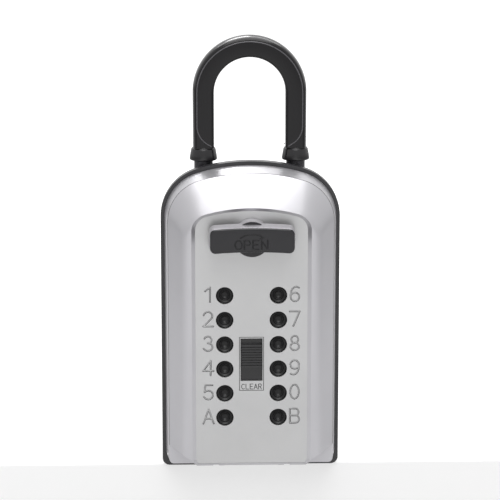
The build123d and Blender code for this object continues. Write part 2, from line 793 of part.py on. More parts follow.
# Lock case: an open tray behind the faceplate that holds the code mechanism
case_height = case_high - case_low
case_middle = (case_high + case_low) / 2
case_ear_middle = case_half + case_ear_reach / 2
guide_middle = (guide_low + guide_high) / 2
ledge_x = case_inner - ledge / 2
slider_plate_low = slider_window_low - 0.9
slider_plate_high = slider_window_high + clear_travel + 0.9
slider_plate_half = slider_half + 1.4
post_places = [(side * (case_inner - 1.5), z) for side in (-1, 1) for z in (case_low + 4.1, case_high - 3.1)]
with BuildPart() as lock_case:
    with BuildSketch(front(case_back_y)):
        with Locations((0, case_middle)):
            RectangleRounded(2 * case_half, case_height, 2)
    extrude(amount=case_back_y - panel_back_y)
    with BuildSketch(front(case_back_y)):
        with Locations((0, case_middle)):
            Rectangle(2 * case_inner, case_height - 2 * case_wall)
    extrude(amount=case_back_y - case_front_y, mode=Mode.SUBTRACT)
    with BuildSketch(front(case_back_y)):
        with Locations(*post_places):
            Circle(post_radius)
    extrude(amount=case_back_y - case_front_y)
    with BuildSketch(front(case_back_y)):
        with Locations(*post_places):
            Circle(case_screw_radius)
    extrude(amount=case_screw_reach, mode=Mode.SUBTRACT)
    # Ears that screw to the bosses in the cover
    with BuildSketch(front(case_ear_y + case_ear_thickness)):
        with Locations(*[(side * case_ear_middle, z) for side in (-1, 1) for z in case_ear_z]):
            Rectangle(case_ear_reach, 6)
    extrude(amount=case_ear_thickness)
    with BuildSketch(front(case_ear_y + case_ear_thickness)):
        with Locations(*case_bosses_at):
            Circle(case_screw_radius + running)
    extrude(amount=case_ear_thickness, mode=Mode.SUBTRACT)
    # Holes for the buttons, the spindle and the clear slider
    with BuildSketch(front(panel_back_y)):
        with Locations(*key_places):
            Circle(button_hole_radius)
        with Locations((0, knob_z)):
            Circle(spindle_radius + running)
        with Locations((0, (slider_plate_low + slider_plate_high - clear_travel) / 2)):
            slider_run = slider_plate_high - slider_plate_low + clear_travel + 2 * slot_gap
            Rectangle(2 * slider_plate_half + 2 * slot_gap, slider_run)
    extrude(amount=panel_back_y - case_front_y, mode=Mode.SUBTRACT)
    # Ledges for the guide plate, a shelf under the clear spring, and the way out for the latch
    with Locations(*[(side * ledge_x, guide_front_y - ledge / 2, guide_middle) for side in (-1, 1)]):
        Box(ledge, ledge, guide_high - guide_low - 6)
    with Locations((0, (case_front_y + guide_front_y) / 2, clear_shelf_z)):
        Box(5, guide_front_y - case_front_y, 1.4)
    with Locations((0, gate_front_y + gate_thickness / 2 + 0.7, case_high - case_wall / 2)):
        Box(2 * bolt_half + 1.2, gate_thickness + 2.1, 2 * case_wall, mode=Mode.SUBTRACT)

lock_case.part.label = "lock_case"
export_step(raised(lock_case.part), "parts/lock_case.step")

lock_case_screws = screws(
    rear(case_ear_y + case_ear_thickness),
    case_bosses_at,
    case_screw_radius,
    case_ear_thickness + case_screw_reach - 0.3,
    1.7,
    1.1,
)
lock_case_screws.label = "lock_case_screws"
export_step(raised(lock_case_screws), "parts/lock_case_screws.step")

with BuildPart() as case_cover:
    with BuildSketch(front(case_back_y + case_cover_thickness)):
        with Locations((0, case_middle)):
            RectangleRounded(2 * case_half, case_height, 2)
        with Locations(*post_places):
            Circle(case_screw_radius + running, mode=Mode.SUBTRACT)
        with Locations((0, case_high)):
            Rectangle(2 * bolt_half + 2, 4 * case_wall, mode=Mode.SUBTRACT)
    extrude(amount=case_cover_thickness)

case_cover.part.label = "case_cover"
export_step(raised(case_cover.part), "parts/case_cover.step")

case_cover_screws = screws(
    rear(case_back_y + case_cover_thickness),
    post_places,
    case_screw_radius,
    case_cover_thickness + case_screw_reach - 0.3,
    1.7,
    0.9,
)
case_cover_screws.label = "case_cover_screws"
export_step(raised(case_cover_screws), "parts/case_cover_screws.step")


def slotted_plate(front_at, thickness, travel, notch, high):
    """A sliding plate whose slots let the button stems pass while it moves down by its travel."""
    slot_run = travel + 2 * slot_gap
    slot_half = stem_radius + slot_gap
    with BuildPart() as plate:
        with BuildSketch(front(front_at)):
            with Locations((0, (plate_low + high) / 2)):
                RectangleRounded(2 * plate_half, high - plate_low, 1.5)
            with Locations(*[(x, z + travel / 2) for x, z in key_places]):
                SlotCenterToCenter(slot_run, 2 * slot_half, rotation=90, mode=Mode.SUBTRACT)
            with Locations((0, plate_low)):
                Rectangle(5.0, 2 * notch, mode=Mode.SUBTRACT)
        extrude(amount=-thickness)
    return plate.part


# Fixed plate that guides the stems and carries the button springs
with BuildPart() as guide_plate:
    with BuildSketch(front(guide_front_y)):
        with Locations((0, guide_middle)):
            Rectangle(2 * case_inner, guide_high - guide_low)
        with Locations(*key_places):
            Circle(stem_radius + running, mode=Mode.SUBTRACT)
        stem_slot = slider_stem + 2 * slot_gap
        with Locations((0, slider_stem_z - clear_travel / 2)):
            Rectangle(stem_slot, stem_slot + clear_travel, mode=Mode.SUBTRACT)
    extrude(amount=-plate_thickness)

guide_plate.part.label = "guide_plate"
export_step(raised(guide_plate.part), "parts/guide_plate.step")

# Clear slider: a ribbed thumb on a backing plate, with a stem that drives the reset plate
rib_count = 9
thumb_height = thumb_high - thumb_low
thumb_middle = (thumb_high + thumb_low) / 2
with BuildPart() as clear_slider:
    with BuildSketch(front(case_front_y + 0.3)):
        with Locations((0, (slider_plate_low + slider_plate_high) / 2)):
            RectangleRounded(2 * slider_plate_half, slider_plate_high - slider_plate_low, 1)
    extrude(amount=case_front_y + 0.3 - panel_back_y - 0.15)
    with BuildSketch(front(panel_back_y + 0.5)):
        with Locations((0, thumb_middle)):
            Rectangle(2 * slider_half - 0.5, thumb_height)
    extrude(amount=panel_back_y + 0.5 - panel_y + thumb_proud)
    rib_pitch = thumb_height / rib_count
    with BuildSketch(Plane.YZ.offset(-slider_half)):
        for rib in range(1, rib_count):
            with Locations((panel_y - thumb_proud, thumb_low + rib_pitch * rib)):
                Rectangle(1.1, 0.36 * rib_pitch)
    extrude(amount=2 * slider_half, mode=Mode.SUBTRACT)
    with BuildSketch(front(reset_front_y)):
        with Locations((0, slider_stem_z)):
            Rectangle(slider_stem, slider_stem)
    extrude(amount=reset_front_y - case_front_y - 0.1)
    with BuildSketch(front(guide_front_y - 0.2)):
        with Locations((0, slider_stem_z)):
            Rectangle(slider_stem + 2, slider_stem + 2)
    extrude(amount=guide_front_y - 0.2 - case_front_y - 0.1)

clear_slider.part.label = "clear_slider"
export_step(raised(clear_slider.part), "parts/clear_slider.step")

reset_notch = spring_notch + clear_travel + 0.5
reset_plate = slotted_plate(reset_front_y, plate_thickness, clear_travel, reset_notch, first_row_z + 8)
reset_plate.label = "reset_plate"
export_step(raised(reset_plate), "parts/reset_plate.step")

# Gate plate that the thumb-turn draws down, with the latch bolt riveted to its upper tongue
gate_keypad_top = first_row_z + 9
tongue_half = 7.0
shoulder_high = case_high - case_wall - 0.4
crank_x = crank_radius / sqrt(2)
tongue_high = bolt_arm_z + bolt_arm_thickness
with BuildPart() as gate_plate:
    add(slotted_plate(gate_front_y, gate_thickness, latch_travel, spring_notch, gate_keypad_top))
    with BuildSketch(front(gate_front_y)):
        with Locations((0, (gate_keypad_top - 1 + shoulder_high) / 2)):
            Rectangle(2 * tongue_half, shoulder_high - gate_keypad_top + 1)
        with Locations((0, (shoulder_high - 1 + tongue_high) / 2)):
            Rectangle(2 * bolt_half, tongue_high - shoulder_high + 1)
    extrude(amount=-gate_thickness)
    with BuildSketch(front(gate_front_y)):
        with Locations(((crank_x + crank_radius) / 2, knob_z + crank_x)):
            cam_slot_run = crank_radius - crank_x + 2 * slot_gap
            SlotCenterToCenter(cam_slot_run, 2 * (crank_pin_radius + slot_gap))
    extrude(amount=-gate_thickness, mode=Mode.SUBTRACT)

gate_plate.part.label = "gate_plate"
export_step(raised(gate_plate.part), "parts/gate_plate.step")

bolt_front_y = gate_front_y + gate_thickness
with BuildPart() as latch_bolt:
    with BuildSketch(Plane.YZ.offset(-bolt_half)):
        with BuildLine():
            Polyline(
                (bolt_front_y, bolt_arm_z - bolt_foot),
                (bolt_front_y, tongue_high),
                (bolt_tip_y - bolt_lip, tongue_high),
                (bolt_tip_y - bolt_lip, bolt_lip_z),
                (bolt_tip_y, bolt_lip_z - 0.8),
                (bolt_tip_y, bolt_arm_z),
                (bolt_front_y + bolt_back, bolt_arm_z),
                (bolt_front_y + bolt_back, bolt_arm_z - bolt_foot),
                close=True,
            )
        make_face()
    extrude(amount=2 * bolt_half)

latch_bolt.part.label = "latch_bolt"
export_step(raised(latch_bolt.part), "parts/latch_bolt.step")

# Thumb-turn: a winged knob, its spindle, the crank disc and a retaining clip
wing_growth = (wing_back_y - knob_face_y) * tan(radians(wing_draft))
wing_reach = wing_half + wing_growth
wing_high = knob_z + wing_top - wing_bow + wing_growth
wing_low = knob_z - wing_foot - wing_bow - wing_growth
with BuildPart() as open_knob:
    with BuildSketch(front(panel_y - knob_gap)):
        with Locations((0, knob_z)):
            Circle(boss_radius)
    extrude(amount=panel_y - knob_gap - boss_front_y, taper=1)
    with BuildSketch(front(wing_back_y)):
        with BuildLine():
            ThreePointArc((-wing_reach, wing_high), (0, wing_high + wing_bow), (wing_reach, wing_high))
            Line((wing_reach, wing_high), (wing_reach, wing_low))
            ThreePointArc((wing_reach, wing_low), (0, wing_low + wing_bow), (-wing_reach, wing_low))
            Line((-wing_reach, wing_low), (-wing_reach, wing_high))
        wing = make_face()
        fillet(wing.vertices(), radius=wing_corner)
    extrude(amount=wing_back_y - knob_face_y, taper=wing_draft)
    fillet(open_knob.faces().sort_by(Axis.Y)[0].edges(), radius=wing_edge)
    with BuildSketch(front(panel_y - knob_gap)):
        with Locations((0, knob_z)):
            Circle(spindle_radius)
    extrude(amount=spindle_grip, mode=Mode.SUBTRACT)

open_knob.part.label = "open_knob"
export_step(raised(open_knob.part), "parts/open_knob.step")

spindle_front_y = panel_y - knob_gap - spindle_grip
clip_front_y = case_front_y + 0.2
with BuildPart() as knob_spindle:
    with BuildSketch(front(disc_front_y)):
        with Locations((0, knob_z)):
            Circle(spindle_radius)
    extrude(amount=disc_front_y - spindle_front_y)
    with BuildSketch(front(disc_front_y + disc_thickness)):
        with Locations((0, knob_z)):
            Circle(tenon_radius)
    extrude(amount=disc_thickness + 1)
    with BuildSketch(front(clip_front_y + clip_thickness)):
        with Locations((0, knob_z)):
            Circle(spindle_radius + 1)
            Circle(spindle_radius - 0.5, mode=Mode.SUBTRACT)
    extrude(amount=clip_thickness, mode=Mode.SUBTRACT)

knob_spindle.part.label = "knob_spindle"
export_step(raised(knob_spindle.part), "parts/knob_spindle.step")

with BuildPart() as spindle_clip:
    with BuildSketch(front(clip_front_y + clip_thickness)):
        with Locations((0, knob_z)):
            Circle(spindle_radius + 1.6)
            Circle(spindle_radius - 0.5, mode=Mode.SUBTRACT)
        with Locations((0, knob_z - spindle_radius)):
            Rectangle(2.6, 2 * spindle_radius, mode=Mode.SUBTRACT)
    extrude(amount=clip_thickness)

spindle_clip.part.label = "spindle_clip"
export_step(raised(spindle_clip.part), "parts/spindle_clip.step")

with BuildPart() as crank_disc:
    with BuildSketch(front(disc_front_y)):
        with Locations((0, knob_z)):
            Circle(disc_radius)
            Circle(tenon_radius, mode=Mode.SUBTRACT)
    extrude(amount=-disc_thickness)
    with BuildSketch(front(disc_front_y + 0.2)):
        with Locations((crank_x, knob_z + crank_x)):
            Circle(crank_pin_radius)
    extrude(amount=-(gate_front_y + gate_thickness + 0.4 - disc_front_y - 0.2))

crank_disc.part.label = "crank_disc"
export_step(raised(crank_disc.part), "parts/crank_disc.step")


def spring_sleeve(plane, points, mean_radius, length):
    """The space a coil spring fills: a plain sleeve, one for each point."""
    with BuildPart() as sleeves:
        with BuildSketch(plane):
            with Locations(*points):
                Circle(mean_radius + spring_wire / 2)
                Circle(mean_radius - spring_wire / 2, mode=Mode.SUBTRACT)
        extrude(amount=length)
    return sleeves.part


# Springs inside the sealed lock case
button_springs = spring_sleeve(front(guide_front_y), key_places, 2.1, guide_front_y - flange_back_y)
button_springs.label = "button_springs"
export_step(raised(button_springs), "parts/button_springs.step")

clear_spring_low = clear_shelf_z + 0.7
clear_spring_high = slider_stem_z - slider_stem / 2 - 1
clear_spring = spring_sleeve(
    Plane.XY.offset(clear_spring_low), [(0, clear_spring_y)], 1.0, clear_spring_high - clear_spring_low
)
clear_spring.label = "clear_spring"
export_step(raised(clear_spring), "parts/clear_spring.step")

latch_spring_low = case_low + case_wall
latch_spring = spring_sleeve(
    Plane.XY.offset(latch_spring_low),
    [(0, gate_front_y + gate_thickness / 2)],
    0.8,
    plate_low + spring_notch - latch_spring_low,
)
latch_spring.label = "latch_spring"
export_step(raised(latch_spring), "parts/latch_spring.step")

knob_spring_length = disc_front_y - clip_front_y - clip_thickness - 2 * spring_clearance
knob_spring_radius = spindle_radius + 0.7
knob_spring = spring_sleeve(
    front(disc_front_y - spring_clearance), [(0, knob_z)], knob_spring_radius, knob_spring_length
)
knob_spring.label = "knob_spring"
export_step(raised(knob_spring), "parts/knob_spring.step")

# Twelve push buttons: a dished head, a flange behind the case wall and a stem through the plates
for key, (x, z) in zip(left_keys + right_keys, key_places):
    with BuildPart() as button:
        with BuildSketch(front(stem_back_y)):
            with Locations((x, z)):
                Circle(stem_radius)
        extrude(amount=stem_back_y - flange_back_y)
        with BuildSketch(front(flange_back_y)):
            with Locations((x, z)):
                Circle(flange_radius)
        extrude(amount=flange_height)
        with BuildSketch(front(flange_front_y)):
            with Locations((x, z)):
                Circle(button_radius)
        extrude(amount=flange_front_y - button_front_y)
        fillet(button.faces().sort_by(Axis.Y)[0].edges(), radius=0.4)
        with Locations((x, button_front_y - dish_radius + dish_depth, z)):
            Sphere(dish_radius, mode=Mode.SUBTRACT)
    button.part.label = f"button_{key}"
    export_step(raised(button.part), f"parts/button_{key}.step")
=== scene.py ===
from math import atan2, cos, pi, radians, sin

import bmesh
import bpy
from mathutils import Matrix, Vector


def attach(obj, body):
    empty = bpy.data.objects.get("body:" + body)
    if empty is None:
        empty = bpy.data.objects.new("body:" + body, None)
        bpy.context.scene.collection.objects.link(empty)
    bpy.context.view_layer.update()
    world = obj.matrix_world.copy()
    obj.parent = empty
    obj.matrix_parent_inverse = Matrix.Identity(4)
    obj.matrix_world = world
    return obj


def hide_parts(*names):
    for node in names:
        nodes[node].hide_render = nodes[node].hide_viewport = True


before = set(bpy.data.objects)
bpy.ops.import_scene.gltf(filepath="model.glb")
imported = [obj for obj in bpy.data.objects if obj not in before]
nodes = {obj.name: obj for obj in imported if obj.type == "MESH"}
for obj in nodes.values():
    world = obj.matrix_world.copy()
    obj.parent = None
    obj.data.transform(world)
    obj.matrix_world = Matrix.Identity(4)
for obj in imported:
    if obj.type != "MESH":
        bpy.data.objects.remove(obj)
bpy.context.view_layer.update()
mm = 0.001

# Camera: a long lens a little above the box and a touch to the left, as the photograph was taken.
# The view is 500 by 500, and the lens is given through the focal length in pixels.
VIEW_PIXELS = 500
FOCAL_PIXELS = 2211
SENSOR = 36.0
TARGET = Vector((-0.2, 0, 92.2)) * mm
CAMERA_DISTANCE = 900 * mm
CAMERA_AZIMUTH = radians(-1.8)
CAMERA_ELEVATION = radians(13)
NEAREST_SEEN = 10 * mm
FARTHEST_SEEN = 20000 * mm

camera_data = bpy.data.cameras.new("camera")
camera_data.sensor_width = SENSOR
camera_data.lens = FOCAL_PIXELS / VIEW_PIXELS * SENSOR
camera_data.clip_start = NEAREST_SEEN
camera_data.clip_end = FARTHEST_SEEN
camera = bpy.data.objects.new("camera", camera_data)
bpy.context.scene.collection.objects.link(camera)
level = cos(CAMERA_ELEVATION)
towards_camera = Vector((sin(CAMERA_AZIMUTH) * level, -cos(CAMERA_AZIMUTH) * level, sin(CAMERA_ELEVATION)))
camera.location = TARGET + CAMERA_DISTANCE * towards_camera
camera.rotation_euler = towards_camera.to_track_quat("Z", "Y").to_euler()
bpy.context.scene.camera = camera

# Stage: a white floor, and a white shelf under the housing only, so that the cover can swing down.
# Both glow where they are seen or mirrored, which keeps them white outside the shadow, and light
# nothing. In reflections they dim to the sides, as a studio's dark flanks do.
FLOOR_HALF = 3000 * mm
FLOOR_DROP = 42 * mm
SHELF_FRONT = 4.2 * mm
SHELF_DEPTH = 400 * mm
SHELF_HALF = 600 * mm
SHELF_TOP = -0.4 * mm
STAGE_WHITE = (0.40, 0.40, 0.40, 1)
NEAR_GLOW = 0.60
FAR_GLOW = 1.0
GLOW_REACH = (100 * mm, 800 * mm)
SIDE_DIM = 0.75
SIDE_REACH = (220 * mm, 750 * mm)


def worked_out(tree, operation, *values):
    """A sum, product or other result of numbers and node outputs, in a material or the world."""
    step = tree.nodes.new("ShaderNodeMath")
    step.operation = operation
    for socket, value in zip(step.inputs, values):
        if isinstance(value, float):
            socket.default_value = value
        else:
            tree.links.new(value, socket)
    return step.outputs[0]


def ramp(tree, value, span, ends):
    """A node output taken from one span of numbers to another, and held at both ends."""
    step = tree.nodes.new("ShaderNodeMapRange")
    step.inputs["From Min"].default_value, step.inputs["From Max"].default_value = span
    step.inputs["To Min"].default_value, step.inputs["To Max"].default_value = ends
    tree.links.new(value, step.inputs["Value"])
    return step.outputs["Result"]


def seen_rays(tree):
    """One for rays that show the background: those of the camera, of reflections and of glass."""
    rays = tree.nodes.new("ShaderNodeLightPath").outputs
    seen = worked_out(tree, "MAXIMUM", rays["Is Camera Ray"], rays["Is Glossy Ray"])
    return worked_out(tree, "MAXIMUM", seen, rays["Is Transmission Ray"])


stage_paint = bpy.data.materials.new("stage_paint")
stage_paint.use_nodes = True
stage = stage_paint.node_tree
stage.nodes.clear()
stage_place = stage.nodes.new("ShaderNodeTexCoord").outputs["Object"]
stage_reach = stage.nodes.new("ShaderNodeVectorMath")
stage_reach.operation = "LENGTH"
stage.links.new(stage_place, stage_reach.inputs[0])
stage_rise = ramp(stage, stage_reach.outputs["Value"], GLOW_REACH, (NEAR_GLOW, FAR_GLOW))
stage_parts = stage.nodes.new("ShaderNodeSeparateXYZ")
stage.links.new(stage_place, stage_parts.inputs[0])
stage_aside = worked_out(stage, "ABSOLUTE", stage_parts.outputs["X"])
stage_dim = ramp(stage, stage_aside, SIDE_REACH, (0.0, SIDE_DIM))
stage_mirrored = stage.nodes.new("ShaderNodeLightPath").outputs["Is Glossy Ray"]
stage_loss = worked_out(stage, "MULTIPLY", stage_dim, stage_mirrored)
stage_kept = worked_out(stage, "SUBTRACT", 1.0, stage_loss)
stage_side = worked_out(stage, "MULTIPLY", stage_rise, stage_kept)
stage_level = worked_out(stage, "MULTIPLY", seen_rays(stage), stage_side)
stage_glow = stage.nodes.new("ShaderNodeEmission")
stage.links.new(stage_level, stage_glow.inputs["Strength"])
stage_matt = stage.nodes.new("ShaderNodeBsdfDiffuse")
stage_matt.inputs["Color"].default_value = STAGE_WHITE
stage_sum = stage.nodes.new("ShaderNodeAddShader")
stage.links.new(stage_matt.outputs[0], stage_sum.inputs[0])
stage.links.new(stage_glow.outputs[0], stage_sum.inputs[1])
stage_out = stage.nodes.new("ShaderNodeOutputMaterial")
stage.links.new(stage_sum.outputs[0], stage_out.inputs["Surface"])


def new_piece(name, mesh, paint):
    """Puts a finished bmesh into the scene as an object with one material."""
    data = bpy.data.meshes.new(name)
    mesh.to_mesh(data)
    mesh.free()
    data.materials.append(paint)
    piece = bpy.data.objects.new(name, data)
    bpy.context.scene.collection.objects.link(piece)
    return piece


floor_mesh = bmesh.new()
floor_place = Matrix.Translation((0, 0, -FLOOR_DROP))
bmesh.ops.create_grid(floor_mesh, x_segments=1, y_segments=1, size=FLOOR_HALF, matrix=floor_place)
floor = new_piece("floor", floor_mesh, stage_paint)

shelf_mesh = bmesh.new()
bmesh.ops.create_cube(shelf_mesh, size=1)
shelf_height = FLOOR_DROP + SHELF_TOP
bmesh.ops.scale(shelf_mesh, vec=(2 * SHELF_HALF, SHELF_DEPTH, shelf_height), verts=shelf_mesh.verts)
shelf_centre = (0, SHELF_FRONT + SHELF_DEPTH / 2, SHELF_TOP - shelf_height / 2)
bmesh.ops.translate(shelf_mesh, vec=shelf_centre, verts=shelf_mesh.verts)
shelf = new_piece("shelf", shelf_mesh, stage_paint)

# Light: a large soft box overhead, a weak one in front, a small and a wide one behind for the rims,
# and a pale world. It is pure white where it is seen or mirrored, and softer for all that it lights.
WORLD_WHITE = (1, 1, 1, 1)
WORLD_LEVEL = 0.38
OVERHEAD_POWER = 12.5
OVERHEAD_PLACE = Vector((-10, -80, 1000)) * mm
OVERHEAD_WIDTH = 900 * mm
OVERHEAD_LENGTH = 1400 * mm
FRONT_POWER = 3.0
FRONT_PLACE = Vector((0, -850, 780)) * mm
FRONT_WIDTH = 500 * mm
FRONT_HEIGHT = 500 * mm
BACK_POWER = 2.2
BACK_PLACE = Vector((-130, 780, 760)) * mm
BACK_WIDTH = 320 * mm
BACK_HEIGHT = 220 * mm
VEIL_POWER = 4.0
VEIL_PLACE = Vector((0, 690, 820)) * mm
VEIL_WIDTH = 1100 * mm
VEIL_HEIGHT = 320 * mm


def soft_box(name, place, width, length, power):
    """A rectangular area lamp that faces the middle of the box."""
    lamp_data = bpy.data.lights.new(name, "AREA")
    lamp_data.shape = "RECTANGLE"
    lamp_data.size = width
    lamp_data.size_y = length
    lamp_data.energy = power
    lamp = bpy.data.objects.new(name, lamp_data)
    bpy.context.scene.collection.objects.link(lamp)
    lamp.location = place
    lamp.visible_camera = False
    lamp.rotation_euler = (place - TARGET).to_track_quat("Z", "Y").to_euler()


soft_box("overhead", OVERHEAD_PLACE, OVERHEAD_WIDTH, OVERHEAD_LENGTH, OVERHEAD_POWER)
soft_box("front", FRONT_PLACE, FRONT_WIDTH, FRONT_HEIGHT, FRONT_POWER)
soft_box("back", BACK_PLACE, BACK_WIDTH, BACK_HEIGHT, BACK_POWER)
soft_box("veil", VEIL_PLACE, VEIL_WIDTH, VEIL_HEIGHT, VEIL_POWER)

world = bpy.data.worlds.new("world")
bpy.context.scene.world = world
world.use_nodes = True
sky = world.node_tree.nodes["Background"]
sky.inputs["Color"].default_value = WORLD_WHITE
world_seen = ramp(world.node_tree, seen_rays(world.node_tree), (0.0, 1.0), (WORLD_LEVEL, 1.0))
world.node_tree.links.new(world_seen, sky.inputs["Strength"])
bpy.context.scene.view_settings.view_transform = "Standard"

# Back housing: a die-cast box, open at the front, with a black coat that has a fine grain.
# Its rim shows as a dark edge round the cover, and its inside is the key tray.
MERGE_GAP = 0.002 * mm
FLAT_ANGLE = radians(0.4)
SHARP_ANGLE = radians(28)
HOUSING_BLACK = (0.020, 0.0195, 0.022)
HOUSING_EDGE = 0.30 * mm
EDGE_SEGMENTS = 2
GRAIN_DETAIL = 3
GRAIN_SPAN = (0.25, 0.75)
GLOSS_SWING = 0.12
DRIFT_SIZE = 22 * mm
DRIFT_DETAIL = 4
DRIFT_SPAN = (0.3, 0.7)


def grained_paint(name, colour, metal, roughness, grain, depth, tone, shine=0.5):
    """A finish with a fine grain in its height and gloss, and a slow drift in its tone.

    Grain is the width of a speck, depth its height, and tone the share by which the colour drifts.
    """
    paint = bpy.data.materials.new(name)
    paint.use_nodes = True
    tree = paint.node_tree
    shader = tree.nodes["Principled BSDF"]
    shader.inputs["Metallic"].default_value = metal
    shader.inputs["Specular IOR Level"].default_value = shine
    place = tree.nodes.new("ShaderNodeTexCoord")
    fine = tree.nodes.new("ShaderNodeTexNoise")
    fine.inputs["Scale"].default_value = 1 / grain
    fine.inputs["Detail"].default_value = GRAIN_DETAIL
    slow = tree.nodes.new("ShaderNodeTexNoise")
    slow.inputs["Scale"].default_value = 1 / DRIFT_SIZE
    slow.inputs["Detail"].default_value = DRIFT_DETAIL
    for noise in (fine, slow):
        tree.links.new(place.outputs["Object"], noise.inputs["Vector"])
    bump = tree.nodes.new("ShaderNodeBump")
    bump.inputs["Distance"].default_value = depth
    bump.inputs["Strength"].default_value = 1.0
    tree.links.new(fine.outputs["Fac"], bump.inputs["Height"])
    tree.links.new(bump.outputs["Normal"], shader.inputs["Normal"])
    shade = tree.nodes.new("ShaderNodeVectorMath")
    shade.operation = "SCALE"
    shade.inputs[0].default_value = colour
    tree.links.new(ramp(tree, slow.outputs["Fac"], DRIFT_SPAN, (1 - tone, 1 + tone)), shade.inputs["Scale"])
    tree.links.new(shade.outputs["Vector"], shader.inputs["Base Color"])
    gloss_ends = (roughness * (1 - GLOSS_SWING), roughness * (1 + GLOSS_SWING))
    gloss = ramp(tree, fine.outputs["Fac"], GRAIN_SPAN, gloss_ends)
    tree.links.new(gloss, shader.inputs["Roughness"])
    return paint


def shade_curves(mesh, sharp_angle):
    """Shades a mesh smooth, apart from the edges that turn by a sharp angle or more."""
    for face in mesh.faces:
        face.smooth = True
    for edge in mesh.edges:
        edge.smooth = edge.calc_face_angle(0) < sharp_angle


def merged_copy(node):
    """A node's mesh with its triangles joined, its flat faces whole and its curves shaded smooth."""
    mesh = bmesh.new()
    mesh.from_mesh(nodes[node].data)
    bmesh.ops.remove_doubles(mesh, verts=mesh.verts, dist=MERGE_GAP)
    bmesh.ops.dissolve_limit(mesh, angle_limit=FLAT_ANGLE, verts=mesh.verts, edges=mesh.edges)
    shade_curves(mesh, SHARP_ANGLE)
    return mesh


def soften_edges(piece, width):
    """Rounds a piece's sharp edges by a small radius."""
    edges = piece.modifiers.new("edges", "BEVEL")
    edges.width = width
    edges.segments = EDGE_SEGMENTS
    edges.limit_method = "ANGLE"
    edges.angle_limit = SHARP_ANGLE
    edges.harden_normals = True
    edges.miter_outer = "MITER_ARC"


housing_paint = grained_paint(
    "housing", HOUSING_BLACK, metal=0.0, roughness=0.34,
    grain=0.45 * mm, depth=0.010 * mm, tone=0.10,
)
housing = new_piece("housing_casting", merged_copy("back_housing"), housing_paint)
soften_edges(housing, HOUSING_EDGE)
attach(housing, "housing")
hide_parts("back_housing")

# Rim seal: a soft black rubber cord pressed into the groove of the housing's rim.
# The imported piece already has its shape, so it only takes its finish here.
SEAL_BLACK = (0.018, 0.018, 0.019)

seal_paint = grained_paint(
    "seal", SEAL_BLACK, metal=0.0, roughness=0.72,
    grain=0.3 * mm, depth=0.006 * mm, tone=0.12,
)
nodes["rim_seal"].data.materials[0] = seal_paint

# Fittings inside the box: screws, hook, lock bar, lock case and its plates in zinc-plated steel, the
# strike and the springs in bright spring steel, the bushes in nylon. Plating leaves a cloudy grain.
ZINC_GREY = (0.50, 0.51, 0.50)
SPRING_GREY = (0.42, 0.42, 0.43)
NYLON_WHITE = (0.70, 0.69, 0.65)

zinc_paint = grained_paint(
    "zinc", ZINC_GREY, metal=0.9, roughness=0.36,
    grain=0.8 * mm, depth=0.004 * mm, tone=0.08,
)
spring_paint = grained_paint(
    "spring", SPRING_GREY, metal=0.95, roughness=0.28,
    grain=0.25 * mm, depth=0.003 * mm, tone=0.06,
)
nylon_paint = grained_paint(
    "nylon", NYLON_WHITE, metal=0.0, roughness=0.45,
    grain=0.5 * mm, depth=0.004 * mm, tone=0.04,
)
slot_paints = {"zinc": zinc_paint, "spring": spring_paint, "nylon": nylon_paint}
for node in nodes.values():
    slot_name = node.data.materials[0].name
    if slot_name in slot_paints:
        node.data.materials[0] = slot_paints[slot_name]

# Shackle bar: a hardened steel rod, bent to a U, polished and then blackened. Only its feet show,
# between the collars and the housing. The two hinge pins at the cover's foot are zinc plated.
DARK_STEEL = (0.045, 0.044, 0.050)

dark_steel_paint = grained_paint(
    "dark_steel", DARK_STEEL, metal=0.6, roughness=0.26,
    grain=1.5 * mm, depth=0.002 * mm, tone=0.04,
)
nodes["shackle_bar"].data.materials[0] = dark_steel_paint
nodes["hinge_pins"].data.materials[0] = zinc_paint

# Shackle sleeve: a soft black vinyl moulding round the bar. Its outer side is round and glossy. Front
# and back are flat, with a fine bead along the outer edge that turns inwards above each collar.
LEG_X = 18.85 * mm
SHACKLE_Y = 13 * mm
ARCH_Z = 155.3 * mm
SLEEVE_FOOT = 132.8 * mm
SLEEVE_HALF_WIDTH = 4.32 * mm
SLEEVE_HALF_DEPTH = 4.80 * mm
BEAD_INSET = 1.75 * mm
INNER_ROUND = 1.3 * mm
ROUND_STEPS = 10
ARCH_STEPS = 72
SLEEVE_BLACK = (0.008, 0.0075, 0.0085)
BEAD_HIGHLIGHT_GREY = (0.075, 0.072, 0.080)
BEAD_RADIUS = 0.27 * mm
BEAD_SINK = 0.10 * mm
BEAD_DROP = 0.50 * mm
BEAD_TURN_HIGH = 141.7 * mm
BEAD_TURN_ACROSS = 9.9 * mm
BEAD_TURN_DOWN = 9.0 * mm
BEAD_TURN = radians(72)
PEN_CORNER = radians(35)
PEN_ROUND = 3
PEN_END = 1.02
PEN_END_SEGMENTS = 12
END_DECIMALS = 7

sleeve_paint = grained_paint(
    "sleeve", SLEEVE_BLACK, metal=0.0, roughness=0.18,
    grain=0.6 * mm, depth=0.004 * mm, tone=0.08, shine=0.25,
)


def quarter(centre, radii, start):
    """Points of a quarter turn, counter-clockwise from a start angle in degrees."""
    steps = [radians(start + 90 * step / ROUND_STEPS) for step in range(ROUND_STEPS + 1)]
    return [(centre[0] + radii[0] * cos(angle), centre[1] + radii[1] * sin(angle)) for angle in steps]


bead_x = SLEEVE_HALF_WIDTH - BEAD_INSET
outer_round = (BEAD_INSET, SLEEVE_HALF_DEPTH)
inner_x = SLEEVE_HALF_WIDTH - INNER_ROUND
inner_y = SLEEVE_HALF_DEPTH - INNER_ROUND
section = quarter((-inner_x, inner_y), (INNER_ROUND, INNER_ROUND), 90)
section += quarter((-inner_x, -inner_y), (INNER_ROUND, INNER_ROUND), 180)
section += quarter((bead_x, 0), outer_round, 270)
section += quarter((bead_x, 0), outer_round, 0)[1:]

